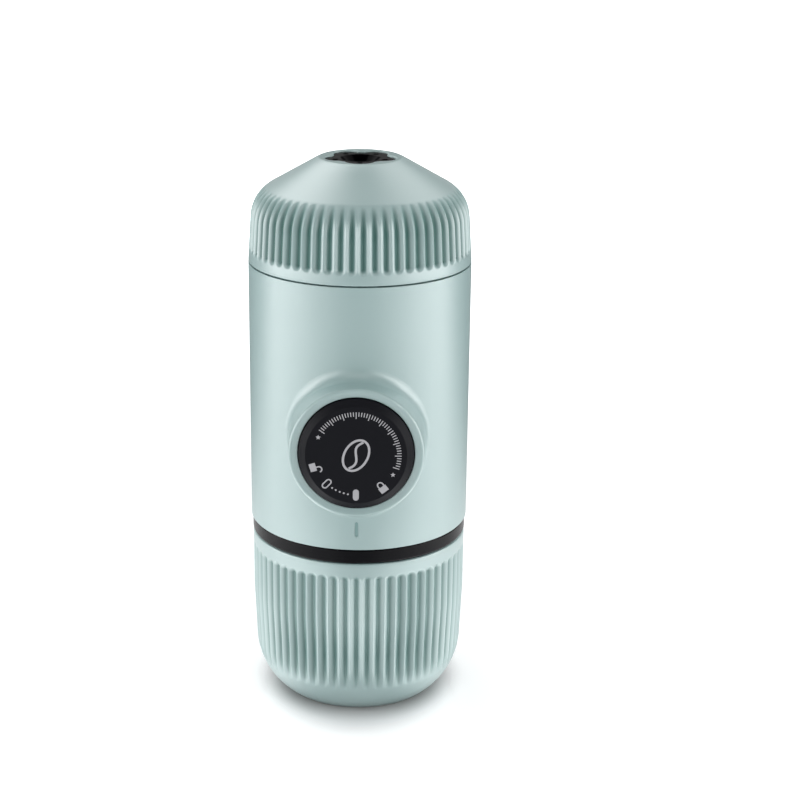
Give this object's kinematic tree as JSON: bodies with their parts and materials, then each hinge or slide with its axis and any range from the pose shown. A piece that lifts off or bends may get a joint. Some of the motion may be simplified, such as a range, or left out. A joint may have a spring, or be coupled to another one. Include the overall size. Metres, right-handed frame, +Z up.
{
  "type": "handheld manual espresso maker",
  "caption": "Handheld manual espresso maker: ribbed screw-on outlet head over a filter basket, twist-lock piston pump button on the side, screw-in water tank and a slide-on ribbed cup.",
  "frame": {"origin": "on the body's axis at the foot of the cup", "axes": "+Z up along the body from the cup to the outlet head, -Y towards the pump button's face, +X to the right as the button is faced"},
  "size_m": [0.062, 0.071, 0.156],
  "materials": {
    "mint_shell": "soft satin moulded plastic, pale mint",
    "button_black": "satin black moulded plastic with pale printed marks",
    "tank_black": "satin charcoal moulded plastic",
    "frame_black": "matt black moulded plastic",
    "gloss_black": "polished black plastic",
    "acetal": "natural white acetal",
    "stainless": "stainless steel, brushed",
    "spring_steel": "bright drawn spring wire",
    "screw_steel": "plated steel",
    "silicone": "translucent grey silicone",
    "seal_black": "black rubber"
  },
  "bodies": {
    "main_body": {"body_casing": "mint_shell", "pump_chassis": "frame_black", "tank_gasket": "silicone", "air_valve": "silicone", "intake_strainer": "stainless", "inlet_seat": "acetal", "outlet_seat": "acetal", "outlet_plug": "acetal", "pump_liner": "stainless", "rod_bush": "acetal", "return_spring": "spring_steel", "brew_head": "frame_black", "head_screws": "screw_steel", "shower_screen": "stainless", "shower_screw": "screw_steel", "head_gasket": "silicone"},
    "piston": {"piston_rod": "stainless", "plunger": "acetal", "plunger_seals": "seal_black", "plunger_nut": "screw_steel", "snap_ring": "spring_steel"},
    "button": {"button_cap": "button_black"},
    "inlet_poppet": {"inlet_valve": "silicone"},
    "outlet_poppet": {"outlet_valve": "silicone", "outlet_spring": "spring_steel"},
    "portafilter": {"portafilter_body": "frame_black", "dome_shell": "mint_shell", "nozzle_guard": "gloss_black", "outlet_tip": "gloss_black", "basket_gasket": "silicone"},
    "basket": {"filter_basket": "stainless"},
    "scoop": {"coffee_scoop": "frame_black"},
    "tank": {"water_tank": "tank_black", "cup_seal": "seal_black"},
    "drinking_cup": {"cup": "mint_shell"}
  },
  "joints": [
    {"name": "piston_stroke", "type": "slide", "parent": "main_body", "child": "piston", "axis": [0, -1, 0], "range_m": [0, 0.018], "stiffness_N_per_m": 400, "springref_m": 0.018, "deforming": ["return_spring"]},
    {"name": "button_twist", "type": "hinge", "parent": "piston", "child": "button", "pos_m": [0, -0.03, 0.0837], "axis": [0, -1, 0], "range_deg": [0, 45]},
    {"name": "inlet_lift", "type": "slide", "parent": "main_body", "child": "inlet_poppet", "axis": [0, 0, 1], "range_m": [0, 0.0008]},
    {"name": "outlet_lift", "type": "slide", "parent": "main_body", "child": "outlet_poppet", "axis": [0, 0, 1], "range_m": [0, 0.0008], "stiffness_N_per_m": 150, "springref_m": -0.002, "deforming": ["outlet_spring"]},
    {"name": "portafilter_lift", "type": "slide", "parent": "main_body", "child": "portafilter", "axis": [0, 0, 1], "range_m": [0, 0.07]},
    {"name": "basket_lift", "type": "slide", "parent": "main_body", "child": "basket", "axis": [0, 0, 1], "range_m": [0, 0.0455]},
    {"name": "scoop_lift", "type": "slide", "parent": "main_body", "child": "scoop", "axis": [0, 0, 1], "range_m": [0, 0.021]},
    {"name": "tank_drop", "type": "slide", "parent": "main_body", "child": "tank", "axis": [0, 0, -1], "range_m": [0, 0.04]},
    {"name": "cup_pull", "type": "slide", "parent": "tank", "child": "drinking_cup", "axis": [0, 0, -1], "range_m": [0, 0.06]}
  ],
  "couplings": [
    {"joint": "basket_lift", "follows": "portafilter_lift", "ratio": 0.65},
    {"joint": "scoop_lift", "follows": "portafilter_lift", "ratio": 0.3}
  ]
}
